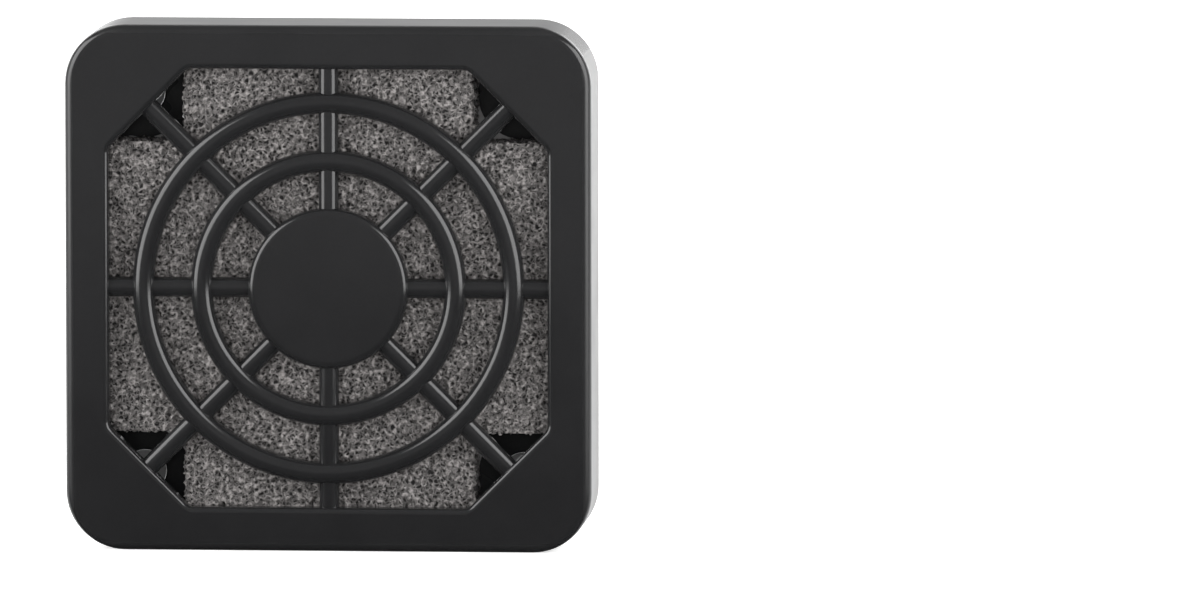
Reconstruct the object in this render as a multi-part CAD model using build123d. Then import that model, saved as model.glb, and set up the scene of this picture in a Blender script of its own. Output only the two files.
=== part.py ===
from build123d import *
import os
from math import isclose

# A three-piece clip-on filter for a 40 mm axial fan: a guard base that the fan's four corner screws hold, a
# pad of open-cell foam, and a cover that snaps over both. Lengths are millimetres.
# The fan's axis is Y and +Z is up. The origin is the middle of the plane in which the base rests on the fan.
# Room air comes from -Y, so the cover's face is the front. A depth is a distance forward from that plane,
# towards -Y, and an outline is drawn in X and Z as seen from the front.

# Fan interface
hole_pitch = 32.0
hole_edge_distance = 4.55
hole_diameter = 3.5
hole_edge_radius = 0.25
boss_diameter = 6.0
boss_height = 0.25
boss_edge_radius = 0.12
pad_radius = 3.8

# Depths
cover_depth = 8.5
rim_setback = 0.3
face_wall = 1.5
base_depth = 3.0
grille_setback = 1.5

# Cover shell
cover_corner_radius = 5.0
cover_edge_radius = 0.7
rim_edge_radius = 0.2
skirt_wall = 1.45
inner_edge_radius = 0.4
face_border = 3.68
opening_corner_cut = 6.7
opening_vertex_radius = 1.0
opening_edge_radius = 0.45

# Cover grille
cover_hub_radius = 6.75
cover_hub_edge_radius = 0.6
cover_ring_radii = (10.7, 15.6)
cover_ring_width = 1.8
cover_spoke_width = 1.65
cover_bar_rounding = 0.47
spoke_drop = 0.35

# Snap lugs on the skirt, and the notches that take them
lug_length = 7.4
lug_reach = 0.75
lug_thickness = 0.85
lug_corner_radius = 0.6
lug_lead_in = 0.25
notch_end_clearance = 0.48
notch_tip_clearance = 0.55
notch_corner_radius = 0.3
catch_clearance = 0.15
catch_running_clearance = 0.05

# Guard base
skirt_clearance = 0.15
frame_wall = 1.6
ledge_width = 1.25
pad_blend_radius = 1.0
ledge_blend_radius = 0.6
base_edge_radius = 0.2
base_lead_in = 0.4
base_hub_radius = 6.7
base_hub_edge_radius = 0.2
base_ring_radii = (10.4, 15.1)
base_ring_width = 1.9
base_spoke_width = 1.7
base_bar_rounding = 0.12

# Filter media
media_side_clearance = 0.9
screw_head_clearance = 3.65

# Both grilles have eight spokes. Their ends run this far into the frame
spoke_count = 8
spoke_sink = 0.5

# Sizes that follow from the ones above
hole_offset = hole_pitch / 2
base_width = hole_pitch + 2 * hole_edge_distance
skirt_inner_width = base_width + 2 * skirt_clearance
skirt_inner_corner_radius = cover_corner_radius - skirt_wall
cover_width = skirt_inner_width + 2 * skirt_wall
opening_width = cover_width - 2 * face_border
recess_width = base_width - 2 * frame_wall
grille_opening_width = recess_width - 2 * ledge_width
base_grille_back = boss_height + grille_setback
cover_grille_back = cover_depth - face_wall
catch_depth = rim_setback + lug_thickness
notch_floor_depth = catch_depth + catch_clearance
media_width = skirt_inner_width - 2 * media_side_clearance

# Sections are drawn with depth upwards: across a radius, and across a bar that lies along X
radius_plane = Plane(origin=(0, 0, 0), x_dir=(1, 0, 0), z_dir=(0, 0, -1))
bar_plane = Plane(origin=(0, 0, 0), x_dir=(0, 0, 1), z_dir=(1, 0, 0))


def slab(outline, back, front):
    """Extrudes an outline between two depths."""
    return extrude(Plane.XZ.offset(back) * outline, front - back)


def front_face(shape):
    """The face furthest forward."""
    return shape.faces().sort_by(Axis.Y)[0]


def rear_face(shape):
    """The face nearest the fan."""
    return shape.faces().sort_by(Axis.Y)[-1]


def around_sides(shape, axis):
    """Copies of a shape turned to the four sides."""
    return [shape.rotate(axis, 90 * side) for side in range(4)]


def bar_section(width, foam_side, open_side, rounding):
    """A bar's section: flat where the foam lies on it, its open edges rounded by a share of its width."""
    block = Pos(0, (foam_side + open_side) / 2) * Rectangle(width, abs(open_side - foam_side))
    corners = block.vertices().sort_by(Axis.Y)
    return fillet(corners[2:] if open_side > foam_side else corners[:2], rounding * width)


def grille(
    outline,
    hub_radius,
    hub_edge_radius,
    ring_radii,
    ring_width,
    spoke_width,
    bar_rounding,
    foam_side,
    open_side,
    spoke_side,
):
    """Hub, rings and spokes that fill an opening's outline. The spokes' open side has a depth of its own."""
    back, front = sorted((foam_side, open_side))
    hub = slab(Circle(hub_radius), back, front)
    shown = front_face(hub) if open_side > foam_side else rear_face(hub)
    hub = fillet(shown.edges(), hub_edge_radius)
    ring_section = bar_section(ring_width, foam_side, open_side, bar_rounding)
    rings = [revolve(radius_plane * Pos(radius, 0) * ring_section, Axis.Y) for radius in ring_radii]
    spoke_section = bar_section(spoke_width, foam_side, spoke_side, bar_rounding)
    bar = Pos(hub_radius / 2, 0, 0) * extrude(bar_plane * spoke_section, outline.bounding_box().diagonal / 2)
    reach = slab(offset(outline, spoke_sink), back, front)
    spokes = [bar.rotate(Axis.Y, 360 / spoke_count * turn) & reach for turn in range(spoke_count)]
    return hub + [*rings, *spokes]


# Snap cover


def opening_outline():
    """The air opening in the face: a square with cut corners."""
    octagon = chamfer(Rectangle(opening_width, opening_width).vertices(), opening_corner_cut)
    return fillet(octagon.vertices(), opening_vertex_radius)


def cover_shell():
    """The face and skirt, open at the back and through the middle."""
    outer = RectangleRounded(cover_width, cover_width, cover_corner_radius)
    inner = RectangleRounded(skirt_inner_width, skirt_inner_width, skirt_inner_corner_radius)
    shell = slab(outer, rim_setback, cover_depth)
    shell = fillet(front_face(shell).edges(), cover_edge_radius)
    hollow = slab(inner, rim_setback, cover_grille_back)
    shell -= fillet(front_face(hollow).edges(), inner_edge_radius)
    shell = fillet(rear_face(shell).edges(), rim_edge_radius)
    shell -= slab(opening_outline(), cover_grille_back, cover_depth)
    return fillet(front_face(shell).inner_wires()[0].edges(), opening_edge_radius)


def snap_lug():
    """The lug on the skirt's top side. Its tip is cut back on the side that meets the base first."""
    root = (skirt_inner_width + skirt_wall) / 2
    tip = skirt_inner_width / 2 - lug_reach
    plan = Pos(0, (root + tip) / 2) * Rectangle(lug_length, root - tip)
    plan = fillet(plan.vertices().sort_by(Axis.Y)[:2], lug_corner_radius)
    lug = slab(plan, rim_setback, catch_depth)
    tip_edges = rear_face(lug).edges().filter_by(Axis.Z, reverse=True).sort_by(Axis.Z)[:-1]
    return chamfer(tip_edges, lug_lead_in)


def snap_cover():
    """The cover: its shell, a grille whose rings and hub are level with the face, and four lugs."""
    cover = cover_shell() + grille(
        opening_outline(),
        cover_hub_radius,
        cover_hub_edge_radius,
        cover_ring_radii,
        cover_ring_width,
        cover_spoke_width,
        cover_bar_rounding,
        foam_side=cover_grille_back,
        open_side=cover_depth,
        spoke_side=cover_depth - spoke_drop,
    )
    return cover + around_sides(snap_lug(), Axis.Y)


# Guard base


def inside_pads(width, blend_radius):
    """A square outline less the round corner pads, rounded where the pads meet its sides."""
    to_edge = hole_edge_distance / 2
    block = Pos(to_edge, to_edge) * Rectangle(hole_edge_distance, hole_edge_distance)
    pad = Pos(hole_offset, hole_offset) * (Circle(pad_radius) + block)
    outline = Rectangle(width, width) - around_sides(pad, Axis.Z)
    return fillet(outline.vertices(), blend_radius)


def lug_notches(tip_clearance):
    """The outlines of the notches that take the lugs, cut to this far inside the lugs' tips."""
    length = lug_length + 2 * notch_end_clearance
    depth = lug_reach + tip_clearance
    notch = Pos(0, (skirt_inner_width - depth) / 2) * Rectangle(length, depth)
    notch = fillet(notch.vertices().sort_by(Axis.Y)[:2], notch_corner_radius)
    return around_sides(notch, Axis.Z)


def base_frame():
    """The frame with its corner pads, its lug notches and the ledge that carries the grille."""
    corner_radius = skirt_inner_corner_radius - skirt_clearance
    outer = RectangleRounded(base_width, base_width, corner_radius)
    catch = slab(outer, notch_floor_depth, base_depth)
    catch = chamfer(front_face(catch).edges(), base_lead_in)
    for passage in lug_notches(catch_running_clearance):
        catch -= slab(passage, notch_floor_depth, base_depth)
    frame = catch + slab(outer - lug_notches(notch_tip_clearance), boss_height, notch_floor_depth)
    frame -= slab(inside_pads(recess_width, pad_blend_radius), boss_height, base_grille_back)
    frame -= slab(inside_pads(grille_opening_width, ledge_blend_radius), base_grille_back, base_depth)
    return fillet(rear_face(frame).edges(), base_edge_radius)


def screw_boss():
    """The raised ring about a hole, whose face rests on the fan."""
    boss = slab(Circle(boss_diameter / 2), 0, base_depth)
    return fillet(rear_face(boss).edges(), boss_edge_radius)


def guard_base():
    """The base: its frame, a finger guard set back from the fan, and four screw bosses."""
    base = base_frame() + grille(
        inside_pads(grille_opening_width, ledge_blend_radius),
        base_hub_radius,
        base_hub_edge_radius,
        base_ring_radii,
        base_ring_width,
        base_spoke_width,
        base_bar_rounding,
        foam_side=base_depth,
        open_side=base_grille_back,
        spoke_side=base_grille_back,
    )
    places = [Pos(x, 0, z) for x in (-hole_offset, hole_offset) for z in (-hole_offset, hole_offset)]
    base += [place * screw_boss() for place in places]
    for place in places:
        base -= place * slab(Circle(hole_diameter / 2), 0, base_depth)
    round_edges = base.edges().filter_by(GeomType.CIRCLE)
    mouths = [edge for edge in round_edges if isclose(edge.radius, hole_diameter / 2)]
    return fillet(mouths, hole_edge_radius)


# Filter media


def filter_media():
    """The foam pad between the two grilles, its corners cut away for the screw heads."""
    inner = hole_offset - screw_head_clearance
    side = media_width / 2 - inner
    notch = Pos(inner + side / 2, inner + side / 2) * Rectangle(side, side)
    pad = Rectangle(media_width, media_width) - around_sides(notch, Axis.Z)
    return slab(pad, base_depth, cover_grille_back)


os.makedirs("parts", exist_ok=True)
pieces = {"guard_base": guard_base(), "filter_media": filter_media(), "snap_cover": snap_cover()}
for name, piece in pieces.items():
    export_step(piece, f"parts/{name}.step")
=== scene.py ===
import math

import bmesh
import bpy
from mathutils import Euler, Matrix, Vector

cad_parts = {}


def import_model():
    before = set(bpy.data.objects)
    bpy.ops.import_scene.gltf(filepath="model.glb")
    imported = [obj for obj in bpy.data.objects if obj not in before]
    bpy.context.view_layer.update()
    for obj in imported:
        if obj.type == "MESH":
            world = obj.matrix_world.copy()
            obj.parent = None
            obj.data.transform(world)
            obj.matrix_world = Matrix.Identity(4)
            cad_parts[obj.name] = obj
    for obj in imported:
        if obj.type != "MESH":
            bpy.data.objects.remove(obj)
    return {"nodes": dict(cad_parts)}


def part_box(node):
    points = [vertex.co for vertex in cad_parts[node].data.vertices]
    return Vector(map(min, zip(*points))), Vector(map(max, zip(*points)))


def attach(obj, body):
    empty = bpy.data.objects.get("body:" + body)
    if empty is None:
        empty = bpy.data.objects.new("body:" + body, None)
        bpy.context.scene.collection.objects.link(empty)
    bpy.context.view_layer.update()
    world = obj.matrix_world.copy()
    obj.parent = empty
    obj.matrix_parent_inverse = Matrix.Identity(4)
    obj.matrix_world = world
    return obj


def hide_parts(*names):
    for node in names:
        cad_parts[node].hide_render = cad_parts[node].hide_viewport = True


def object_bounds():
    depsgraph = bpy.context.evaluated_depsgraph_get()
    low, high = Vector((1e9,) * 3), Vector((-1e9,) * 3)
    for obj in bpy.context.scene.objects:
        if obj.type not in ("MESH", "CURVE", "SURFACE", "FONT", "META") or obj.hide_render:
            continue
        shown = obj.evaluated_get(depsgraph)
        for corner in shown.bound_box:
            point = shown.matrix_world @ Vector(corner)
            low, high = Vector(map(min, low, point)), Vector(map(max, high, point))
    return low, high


# A clip-on filter for a small fan: guard base, foam pad and grille cover. The base and cover are the frame's
# own nodes with a moulded plastic finish, and the foam pad is a mesh of its own. Lengths are metres, and the
# front is -Y.

mm = 0.001
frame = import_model()
cad_low, cad_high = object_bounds()
cover_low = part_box("snap_cover")[0]
pad_low, pad_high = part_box("filter_media")

# The photograph's frame, and the place and size of the cover's face in it, in pixels
image_width = 1200
image_height = 599
face_centre_px = (327.5, 289.2)
px_per_mm = 11.93

# The camera
lens_mm = 500.0
sensor_mm = 36.0
view_right = math.radians(5.6)
view_up = math.radians(5.6)
view_roll = math.radians(-0.15)
clip_near = 0.01
clip_far = 20.0

# Soft boxes, a left and a right one of each kind. The angles are degrees from the front and up
front_box = dict(azimuth=60.0, elevation=18.5, distance=0.158, width=0.115, height=0.142, radiance=4.8)
rear_box = dict(azimuth=145.0, elevation=20.0, distance=0.6, width=0.44, height=0.6, radiance=3.5)

# Fill light: a sun in front and one behind, and the world's own
front_fill = 0.5
rear_fill = 1.8
sun_right = 0.1
sun_up = 0.12
sun_angle = math.radians(12)
world_fill = 0.15

# What the object's gloss sees: a dim room in front, turning to a bright backdrop between two shares of +Y
room_light = 0.25
backdrop_light = 0.85
backdrop_from = 0.2
backdrop_to = 0.9

# The floor
floor_reach = 3.0
floor_grey = 0.85
floor_roughness = 0.9
floor_specular = 0.1
floor_glow = 0.6

# The flag on the floor, which turns from black to the room's light at its edge
flag_start = 0.007
flag_edge = 0.215
flag_edge_blend = 0.02
flag_end = 2.5
flag_width = 3.0
flag_lift = 0.05 * mm

# Grey cards behind the base's corners, seen only by the camera from the front: painted shade behind the screw
# holes, with real shadow on them too
card_width = 7.2 * mm
card_offset = 14.6 * mm
card_gap = 0.6 * mm
shade_card_grey = 0.35

# Moulded plastic. Each finish: darkest and lightest colour, roughness and specular level
cover_plastic = ((0.0145, 0.0145, 0.0151), (0.0168, 0.0168, 0.0175), 0.16, 0.5)
base_plastic = ((0.014, 0.0142, 0.0148), (0.018, 0.0182, 0.0188), 0.26, 0.35)
plastic_detail = 3.0
cloud_size = 6 * mm
cloud_share = 0.6
grain_size = 0.22 * mm
grain_share = 0.4
grain_noise_roughness = 0.6
grain_height = 0.006 * mm
grain_strength = 0.6
gloss_spread = 0.02

# The mouldings' outer edges are duller from handling, this far from the middle
handled_from = 21.2 * mm
handled_blend = 0.4 * mm
handled_dulling = 0.16

# The foam pad's mesh
foam_step = 0.19 * mm
foam_side_rows = 9
foam_pore_depth = 0.42 * mm
foam_notch = 7.45 * mm

# The foam's cells. Strands run along their walls, solid up to the core's distance and gone at the edge's. A
# deeper layer of smaller cells has its strands at a share of full strength, which sinks them halfway and
# paints them halfway to the strand colour, as painted shade
foam_cell = 0.46 * mm
deep_cell = 0.38 * mm
deep_share = 0.5
strand_core = 0.06
strand_edge = 0.24
bend_size = 0.4 * mm
bend_reach = 0.4 * mm
break_size = 0.36 * mm
break_low = 0.36
break_high = 0.56
# Size of the random patches where strands are painted lit: painted highlights
glint_size = 0.3 * mm
foam_detail = 1.0
glint_detail = 2.0

# The foam's finish. The pores are painted near black, as painted shade, over the real shade of their sunk
# relief
pore_shade_colour = (0.022, 0.021, 0.021, 1.0)
# Strand colours: a shaded and a lit copy of one grey, mixed at random as painted highlights
shaded_strand_colour = (0.125, 0.118, 0.114, 1.0)
lit_strand_colour = (0.35, 0.33, 0.322, 1.0)
pore_roughness = 0.95
strand_roughness = 0.6
foam_specular = 0.35
foam_bump_height = 0.12 * mm
foam_bump_strength = 0.5

# Patterns are moved by these, so that no two are alike
no_offset = (0.0, 0.0, 0.0)
break_offset = (0.03, 0.01, 0.02)
deep_offset = (0.05, 0.07, 0.02)
glint_offset = (0.02, 0.05, 0.04)

# Noise lies mostly between these, about its middle
noise_low = 0.3
noise_high = 0.7
noise_middle = (0.5, 0.5, 0.5)


# Node helpers


def bare_material(name):
    """A material with nothing in its node tree but the output, and that output's surface socket."""
    material = bpy.data.materials.new(name)
    material.use_nodes = True
    tree = material.node_tree
    tree.nodes.clear()
    output = tree.nodes.new("ShaderNodeOutputMaterial")
    return material, tree, output.inputs["Surface"]


def new_material(name):
    """A material with an empty node tree but for its output and Principled shader."""
    material, tree, surface = bare_material(name)
    shader = tree.nodes.new("ShaderNodeBsdfPrincipled")
    tree.links.new(shader.outputs["BSDF"], surface)
    return material, tree, shader


def set_value(tree, socket, value):
    """Links a socket to another, or sets its value."""
    if isinstance(value, bpy.types.NodeSocket):
        tree.links.new(value, socket)
    else:
        socket.default_value = value


def math_node(tree, operation, first, second=0.0):
    node = tree.nodes.new("ShaderNodeMath")
    node.operation = operation
    set_value(tree, node.inputs[0], first)
    set_value(tree, node.inputs[1], second)
    return node.outputs[0]


def vector_node(tree, operation, first, second):
    node = tree.nodes.new("ShaderNodeVectorMath")
    node.operation = operation
    set_value(tree, node.inputs[0], first)
    socket = node.inputs["Scale"] if operation == "SCALE" else node.inputs[1]
    set_value(tree, socket, second)
    return node.outputs[0]


def split_vector(tree, vector):
    """The X, Y and Z outputs of a vector."""
    node = tree.nodes.new("ShaderNodeSeparateXYZ")
    tree.links.new(vector, node.inputs[0])
    return node.outputs


def ramp_between(tree, value, low, high, to_low=0.0, to_high=1.0):
    """Maps low..high smoothly to to_low..to_high."""
    node = tree.nodes.new("ShaderNodeMapRange")
    node.interpolation_type = "SMOOTHSTEP"
    set_value(tree, node.inputs["Value"], value)
    set_value(tree, node.inputs["From Min"], low)
    set_value(tree, node.inputs["From Max"], high)
    set_value(tree, node.inputs["To Min"], to_low)
    set_value(tree, node.inputs["To Max"], to_high)
    return node.outputs["Result"]


def noise(tree, place, size, detail, roughness=0.5, offset=no_offset):
    """Noise whose features are about this size, as (value, colour)."""
    node = tree.nodes.new("ShaderNodeTexNoise")
    node.inputs["Scale"].default_value = 1 / size
    node.inputs["Detail"].default_value = detail
    node.inputs["Roughness"].default_value = roughness
    moved = vector_node(tree, "ADD", place, offset)
    tree.links.new(moved, node.inputs["Vector"])
    return node.outputs[0], node.outputs[1]


def cell_walls(tree, place, size, offset=no_offset):
    """The distance to the nearest wall between random cells of about this size, in cells."""
    node = tree.nodes.new("ShaderNodeTexVoronoi")
    node.feature = "DISTANCE_TO_EDGE"
    node.inputs["Scale"].default_value = 1 / size
    moved = vector_node(tree, "ADD", place, offset)
    tree.links.new(moved, node.inputs["Vector"])
    return node.outputs["Distance"]


def mix_colour(tree, share, first, second):
    node = tree.nodes.new("ShaderNodeMix")
    node.data_type = "RGBA"
    set_value(tree, node.inputs["Factor"], share)
    set_value(tree, node.inputs["A"], first)
    set_value(tree, node.inputs["B"], second)
    return node.outputs["Result"]


def bump(tree, height, distance, strength):
    node = tree.nodes.new("ShaderNodeBump")
    node.inputs["Strength"].default_value = strength
    node.inputs["Distance"].default_value = distance
    tree.links.new(height, node.inputs["Height"])
    return node.outputs["Normal"]


# Materials


def moulded_plastic(name, dark, light, roughness, specular):
    """Satin black moulded plastic: faint flow clouds, a fine spark-eroded grain and a varying gloss."""
    material, tree, shader = new_material(name)
    place = tree.nodes.new("ShaderNodeTexCoord").outputs["Object"]
    clouds = noise(tree, place, cloud_size, plastic_detail)[0]
    grain = noise(tree, place, grain_size, plastic_detail, grain_noise_roughness)[0]
    cloud_part = math_node(tree, "MULTIPLY", clouds, cloud_share)
    grain_part = math_node(tree, "MULTIPLY", grain, grain_share)
    shade = ramp_between(tree, math_node(tree, "ADD", cloud_part, grain_part), noise_low, noise_high)
    tree.links.new(mix_colour(tree, shade, (*dark, 1.0), (*light, 1.0)), shader.inputs["Base Color"])
    smooth, dull = roughness - gloss_spread, roughness + gloss_spread
    gloss = ramp_between(tree, clouds, noise_low, noise_high, smooth, dull)
    sides = split_vector(tree, place)
    across = math_node(tree, "ABSOLUTE", sides["X"])
    along = math_node(tree, "ABSOLUTE", sides["Z"])
    reach = math_node(tree, "MAXIMUM", across, along)
    worn = ramp_between(tree, reach, handled_from, handled_from + handled_blend, 0.0, handled_dulling)
    tree.links.new(math_node(tree, "ADD", gloss, worn), shader.inputs["Roughness"])
    shader.inputs["Specular IOR Level"].default_value = specular
    tree.links.new(bump(tree, grain, grain_height, grain_strength), shader.inputs["Normal"])
    return material


def foam_strands(tree, place):
    """Open-cell foam as cut: (how far a point is on a strand, how far that strand is painted lit as a painted
    highlight), both 0 to 1.
    """
    drift = vector_node(tree, "SUBTRACT", noise(tree, place, bend_size, foam_detail)[1], noise_middle)
    bent = vector_node(tree, "ADD", place, vector_node(tree, "SCALE", drift, bend_reach))
    near = cell_walls(tree, bent, foam_cell)
    struts = ramp_between(tree, near, strand_edge, strand_core)
    gaps = noise(tree, place, break_size, foam_detail, offset=break_offset)[0]
    breaks = ramp_between(tree, gaps, break_low, break_high)
    surface = math_node(tree, "MULTIPLY", struts, breaks)
    # The deeper layer: its strands painted darker, as painted shade, and sunk half as deep as the pores
    deep_near = cell_walls(tree, bent, deep_cell, offset=deep_offset)
    deep = math_node(tree, "MULTIPLY", ramp_between(tree, deep_near, strand_edge, strand_core), deep_share)
    strand = math_node(tree, "MAXIMUM", surface, deep)
    # Painted highlights: random patches of strands that are painted lit
    glint = noise(tree, place, glint_size, glint_detail, offset=glint_offset)[0]
    return strand, ramp_between(tree, glint, noise_low, noise_high)


def foam_material():
    """Grey polyurethane foam: strands painted between a shaded and a lit copy of one grey, as painted
    highlights, over pores painted near black as painted shade.
    """
    material, tree, shader = new_material("open_cell_foam")
    rest = tree.nodes.new("ShaderNodeAttribute")
    rest.attribute_name = "rest_place"
    strand, glint = foam_strands(tree, rest.outputs["Vector"])
    # Strands painted lit or shaded at random: painted highlights and painted shade
    lit = mix_colour(tree, glint, shaded_strand_colour, lit_strand_colour)
    # Pores painted near black: painted shade
    tree.links.new(mix_colour(tree, strand, pore_shade_colour, lit), shader.inputs["Base Color"])
    roughness = ramp_between(tree, strand, 0.0, 1.0, pore_roughness, strand_roughness)
    tree.links.new(roughness, shader.inputs["Roughness"])
    shader.inputs["Specular IOR Level"].default_value = foam_specular
    relief = bump(tree, strand, foam_bump_height, foam_bump_strength)
    tree.links.new(relief, shader.inputs["Normal"])
    return material


# Foam pad


def pad_mesh():
    """A closed pad with square cut corners: fine quads on both faces, coarser rows round the edge."""
    half = (pad_high.x - pad_low.x) / 2
    depth = pad_high.y - pad_low.y
    count = round(2 * half / foam_step)
    step = 2 * half / count
    cut = round(foam_notch / step)

    def at_end(index):
        return index < cut or index >= count - cut

    def kept(i, j):
        return not (at_end(i) and at_end(j))

    mesh = bmesh.new()
    columns = {}
    for j in range(count + 1):
        for i in range(count + 1):
            around = [(i - 1, j - 1), (i, j - 1), (i - 1, j), (i, j)]
            cells = [kept(a, b) for a, b in around if 0 <= a < count and 0 <= b < count]
            if not any(cells):
                continue
            x = -half + i * step
            z = -half + j * step
            edge = len(cells) < 4 or not all(cells)
            rows = foam_side_rows if edge else 1
            levels = range(rows + 1)
            columns[i, j] = [mesh.verts.new((x, pad_low.y + depth * level / rows, z)) for level in levels]
    for j in range(count):
        for i in range(count):
            if not kept(i, j):
                continue
            ring = [columns[i, j], columns[i + 1, j], columns[i + 1, j + 1], columns[i, j + 1]]
            mesh.faces.new([column[0] for column in ring])
            mesh.faces.new([column[-1] for column in reversed(ring)])
            for side, (a, b) in enumerate(((i, j - 1), (i + 1, j), (i, j + 1), (i - 1, j))):
                if 0 <= a < count and 0 <= b < count and kept(a, b):
                    continue
                first, second = ring[side], ring[(side + 1) % 4]
                for level in range(foam_side_rows):
                    mesh.faces.new((first[level], first[level + 1], second[level + 1], second[level]))
    mesh.normal_update()
    data = bpy.data.meshes.new("foam_pad")
    mesh.to_mesh(data)
    mesh.free()
    return data


def sink_pores(piece):
    """Stores each point's place, sinks the pores below the strands, and gives the piece the finished mesh."""
    tree = bpy.data.node_groups.new("foam_pores", "GeometryNodeTree")
    tree.interface.new_socket("Geometry", in_out="INPUT", socket_type="NodeSocketGeometry")
    tree.interface.new_socket("Geometry", in_out="OUTPUT", socket_type="NodeSocketGeometry")
    source = tree.nodes.new("NodeGroupInput")
    result = tree.nodes.new("NodeGroupOutput")
    place = tree.nodes.new("GeometryNodeInputPosition").outputs[0]
    normal = tree.nodes.new("GeometryNodeInputNormal").outputs[0]
    store = tree.nodes.new("GeometryNodeStoreNamedAttribute")
    store.data_type = "FLOAT_VECTOR"
    store.domain = "POINT"
    store.inputs["Name"].default_value = "rest_place"
    tree.links.new(source.outputs[0], store.inputs["Geometry"])
    tree.links.new(place, store.inputs["Value"])
    strand = foam_strands(tree, place)[0]
    sunk = math_node(tree, "MULTIPLY", math_node(tree, "SUBTRACT", strand, 1.0), foam_pore_depth)
    move = tree.nodes.new("GeometryNodeSetPosition")
    tree.links.new(store.outputs["Geometry"], move.inputs["Geometry"])
    tree.links.new(vector_node(tree, "SCALE", normal, sunk), move.inputs["Offset"])
    tree.links.new(move.outputs["Geometry"], result.inputs[0])
    modifier = piece.modifiers.new("pores", "NODES")
    modifier.node_group = tree
    graph = bpy.context.evaluated_depsgraph_get()
    finished = bpy.data.meshes.new_from_object(piece.evaluated_get(graph))
    piece.modifiers.clear()
    piece.data = finished


def foam_pad():
    """The foam pad, which stands in for the frame's plain one."""
    piece = bpy.data.objects.new("foam_pad", pad_mesh())
    bpy.context.scene.collection.objects.link(piece)
    sink_pores(piece)
    piece.data.materials.clear()
    piece.data.materials.append(foam_material())
    for polygon in piece.data.polygons:
        polygon.use_smooth = True
    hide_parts("filter_media")
    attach(piece, "media")


# Stage, light and camera


def world():
    """White for the camera, a dim room and bright backdrop for the object's gloss, and an even fill."""
    scene_world = bpy.data.worlds.new("studio")
    bpy.context.scene.world = scene_world
    scene_world.use_nodes = True
    tree = scene_world.node_tree
    tree.nodes.clear()
    output = tree.nodes.new("ShaderNodeOutputWorld")
    background = tree.nodes.new("ShaderNodeBackground")
    background.inputs["Color"].default_value = (1.0, 1.0, 1.0, 1.0)
    rays = tree.nodes.new("ShaderNodeLightPath")
    direction = tree.nodes.new("ShaderNodeTexCoord").outputs["Generated"]
    behind = split_vector(tree, direction)["Y"]
    backdrop = ramp_between(tree, behind, backdrop_from, backdrop_to, room_light, backdrop_light)
    seen = math_node(tree, "MAXIMUM", rays.outputs["Is Camera Ray"], rays.outputs["Is Transmission Ray"])
    glossy = math_node(tree, "MULTIPLY", rays.outputs["Is Glossy Ray"], backdrop)
    fill = math_node(tree, "MULTIPLY", rays.outputs["Is Diffuse Ray"], world_fill)
    shown = math_node(tree, "MAXIMUM", math_node(tree, "MAXIMUM", seen, glossy), fill)
    tree.links.new(shown, background.inputs["Strength"])
    tree.links.new(background.outputs[0], output.inputs["Surface"])


def stage_plane(name, corners, material):
    """A flat stage piece with four corners, added to the scene."""
    data = bpy.data.meshes.new(name)
    data.from_pydata(corners, [], [(0, 1, 2, 3)])
    piece = bpy.data.objects.new(name, data)
    bpy.context.scene.collection.objects.link(piece)
    piece.data.materials.append(material)
    return piece


def hide_from(piece, *rays):
    """Hides a stage piece from these kinds of ray."""
    for ray in rays:
        setattr(piece, f"visible_{ray}", False)


def floor():
    """A pale floor that the camera sees as white but for the object's shadow."""
    material, tree, shader = new_material("floor_white")
    shader.inputs["Base Color"].default_value = (floor_grey, floor_grey, floor_grey, 1.0)
    shader.inputs["Roughness"].default_value = floor_roughness
    shader.inputs["Specular IOR Level"].default_value = floor_specular
    rays = tree.nodes.new("ShaderNodeLightPath")
    seen = math_node(tree, "MAXIMUM", rays.outputs["Is Camera Ray"], rays.outputs["Is Glossy Ray"])
    seen = math_node(tree, "MAXIMUM", seen, rays.outputs["Is Transmission Ray"])
    shader.inputs["Emission Color"].default_value = (1.0, 1.0, 1.0, 1.0)
    tree.links.new(math_node(tree, "MULTIPLY", seen, floor_glow), shader.inputs["Emission Strength"])
    low, high, z = -floor_reach, floor_reach, cad_low.z
    stage_plane("floor", [(low, low, z), (high, low, z), (high, high, z), (low, high, z)], material)


def flag():
    """A cloth on the floor in front that only the object's gloss sees: black near it, dim beyond."""
    material, tree, surface = bare_material("flag")
    glow = tree.nodes.new("ShaderNodeEmission")
    place = tree.nodes.new("ShaderNodeTexCoord").outputs["Object"]
    away = math_node(tree, "MULTIPLY", split_vector(tree, place)["Y"], -1.0)
    black_to = flag_edge - flag_edge_blend
    dim_from = flag_edge + flag_edge_blend
    tree.links.new(ramp_between(tree, away, black_to, dim_from, 0.0, room_light), glow.inputs["Strength"])
    tree.links.new(glow.outputs[0], surface)
    half, z = flag_width / 2, cad_low.z + flag_lift
    near, far = -flag_start, -flag_end
    corners = [(-half, near, z), (half, near, z), (half, far, z), (-half, far, z)]
    hide_from(stage_plane("flag", corners, material), "camera", "diffuse", "transmission", "shadow")


def shade_card_material():
    """Grey from the front, clear from behind: painted shade for what the holes show."""
    material, tree, surface = bare_material("shade_card")
    plain = tree.nodes.new("ShaderNodeBsdfDiffuse")
    # The card's grey: painted shade for what the holes show
    plain.inputs["Color"].default_value = (shade_card_grey, shade_card_grey, shade_card_grey, 1.0)
    clear = tree.nodes.new("ShaderNodeBsdfTransparent")
    choose = tree.nodes.new("ShaderNodeMixShader")
    tree.links.new(tree.nodes.new("ShaderNodeNewGeometry").outputs["Backfacing"], choose.inputs[0])
    tree.links.new(plain.outputs[0], choose.inputs[1])
    tree.links.new(clear.outputs[0], choose.inputs[2])
    tree.links.new(choose.outputs[0], surface)
    return material


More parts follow.
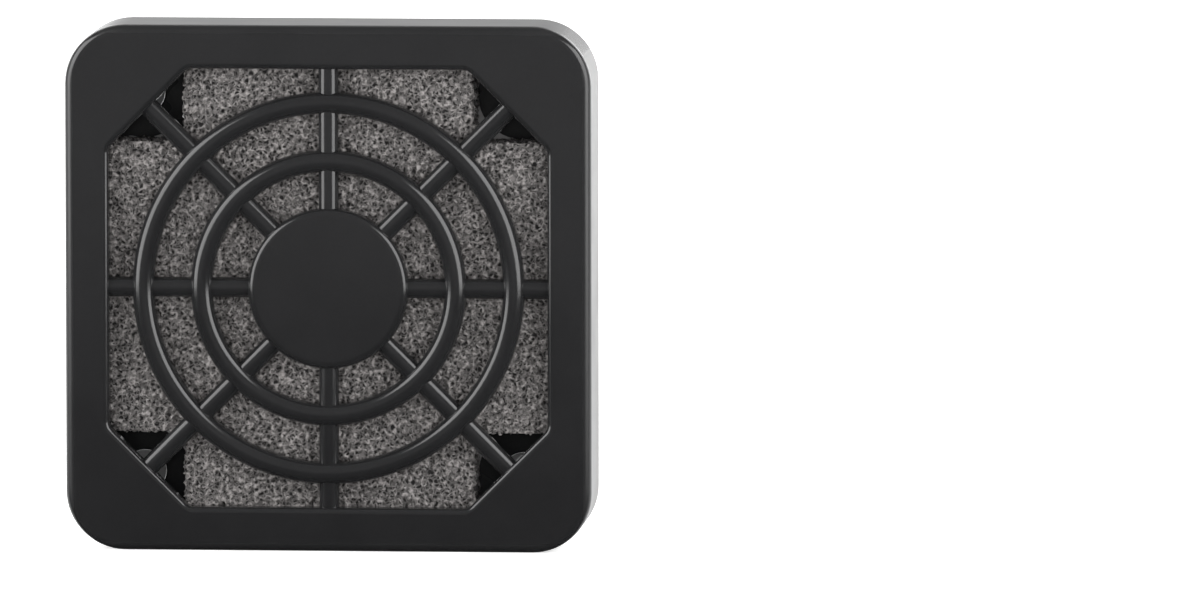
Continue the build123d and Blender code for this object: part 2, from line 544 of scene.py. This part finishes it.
def shade_cards():
    """Grey cards close behind the screw holes and the pad's cut corners, seen only by the camera, so that
    these show a surface in shade as if the base lay on a table: painted shade in the cards' grey, with real
    shadow on them too.
    """
    material = shade_card_material()
    half = card_width / 2
    y = cad_high.y + card_gap
    for x in (-card_offset, card_offset):
        for z in (-card_offset, card_offset):
            lower = [(x - half, y, z - half), (x + half, y, z - half)]
            upper = [(x + half, y, z + half), (x - half, y, z + half)]
            card = stage_plane("shade_card", lower + upper, material)
            hide_from(card, "diffuse", "glossy", "transmission", "shadow")


def aimed_lamp(name, data, away):
    """A lamp in the scene that shines from this direction towards the origin, unseen by the camera."""
    lamp = bpy.data.objects.new(name, data)
    bpy.context.scene.collection.objects.link(lamp)
    lamp.rotation_mode = "QUATERNION"
    lamp.rotation_quaternion = away.to_track_quat("Z", "Y")
    lamp.visible_camera = False
    return lamp


def soft_box(name, side, azimuth, elevation, distance, width, height, radiance):
    """A soft area light at the left (-1) or right (1), aimed at the object."""
    data = bpy.data.lights.new(name, "AREA")
    data.shape = "RECTANGLE"
    data.size = width
    data.size_y = height
    data.energy = radiance * math.pi * width * height
    around = math.radians(side * azimuth)
    up = math.radians(elevation)
    away = Vector((math.sin(around) * math.cos(up), -math.cos(around) * math.cos(up), math.sin(up)))
    aimed_lamp(name, data, away).location = away * distance


def fill_sun(name, side, strength):
    """Even light from in front (-1) or behind (1) that reaches into the grilles and leaves no highlight."""
    data = bpy.data.lights.new(name, "SUN")
    data.energy = strength
    data.angle = sun_angle
    aimed_lamp(name, data, Vector((sun_right, side, sun_up))).visible_glossy = False


def camera():
    """Looks at the cover's face from its upper right, turned so that the face lies as in the photograph."""
    data = bpy.data.cameras.new("camera")
    data.lens = lens_mm
    data.sensor_width = sensor_mm
    piece = bpy.data.objects.new("camera", data)
    bpy.context.scene.collection.objects.link(piece)
    px_per_radian = image_width * lens_mm / sensor_mm
    distance = px_per_radian / px_per_mm * mm
    away = Vector((
        math.sin(view_right) * math.cos(view_up),
        -math.cos(view_right) * math.cos(view_up),
        math.sin(view_up),
    ))
    face = Vector((0.0, cover_low.y, 0.0))
    piece.location = face + away * distance
    look = away.to_track_quat("Z", "Y").to_matrix()
    turn = math.atan((image_width / 2 - face_centre_px[0]) / px_per_radian)
    tip = math.atan((image_height / 2 - face_centre_px[1]) / px_per_radian)
    piece.rotation_euler = (look @ Euler((-tip, -turn, view_roll)).to_matrix()).to_euler()
    data.clip_start = clip_near
    data.clip_end = clip_far
    bpy.context.scene.camera = piece


# The object

cover_finish = moulded_plastic("cover_plastic", *cover_plastic)
base_finish = moulded_plastic("base_plastic", *base_plastic)
for node, finish in (("snap_cover", cover_finish), ("guard_base", base_finish)):
    piece = frame["nodes"][node]
    piece.data.materials.clear()
    piece.data.materials.append(finish)
foam_pad()

# The studio

bpy.context.scene.view_settings.view_transform = "Standard"
world()
floor()
flag()
shade_cards()
for name, box in (("front", front_box), ("rear", rear_box)):
    soft_box(f"{name}_left_box", -1, **box)
    soft_box(f"{name}_right_box", 1, **box)
fill_sun("front_fill", -1, front_fill)
fill_sun("rear_fill", 1, rear_fill)
camera()
